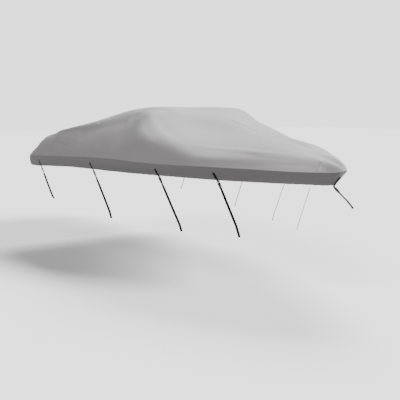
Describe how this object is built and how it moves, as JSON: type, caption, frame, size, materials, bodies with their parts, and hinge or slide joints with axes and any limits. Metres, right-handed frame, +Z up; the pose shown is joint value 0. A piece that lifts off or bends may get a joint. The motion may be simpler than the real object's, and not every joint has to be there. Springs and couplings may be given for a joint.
{
  "type": "boat cover",
  "caption": "Grey fitted cloth cover for an open V-hull runabout, tented over the windshield, with an inturned skirt and black webbing ties.",
  "frame": {"origin": "on the centre line at the underside of the cover's top, where the boat's windshield carries it", "axes": "+X towards the bow, +Y to port, +Z up"},
  "size_m": [5.1036, 2.5012, 1.3631],
  "materials": {
    "cloth_grey": "matte woven, coated",
    "skirt_grey": "matte woven, coated",
    "webbing_black": "matte woven webbing",
    "buckle_black": "satin moulded"
  },
  "bodies": {
    "root": {"nose_cap": "cloth_grey", "upper_starboard": "cloth_grey", "upper_port": "cloth_grey", "skirt_starboard": "skirt_grey", "skirt_port": "skirt_grey", "skirt_transom": "skirt_grey", "tab_starboard_1": "webbing_black", "buckle_starboard_1": "buckle_black", "strap_starboard_1": "webbing_black", "tab_starboard_2": "webbing_black", "buckle_starboard_2": "buckle_black", "strap_starboard_2": "webbing_black", "tab_starboard_3": "webbing_black", "buckle_starboard_3": "buckle_black", "strap_starboard_3": "webbing_black", "tab_starboard_4": "webbing_black", "buckle_starboard_4": "buckle_black", "strap_starboard_4": "webbing_black", "tab_port_1": "webbing_black", "buckle_port_1": "buckle_black", "strap_port_1": "webbing_black", "tab_port_2": "webbing_black", "buckle_port_2": "buckle_black", "strap_port_2": "webbing_black", "tab_port_3": "webbing_black", "buckle_port_3": "buckle_black", "strap_port_3": "webbing_black", "tab_port_4": "webbing_black", "buckle_port_4": "buckle_black", "strap_port_4": "webbing_black", "tab_bow": "webbing_black", "buckle_bow": "buckle_black", "strap_bow": "webbing_black"}
  },
  "joints": []
}
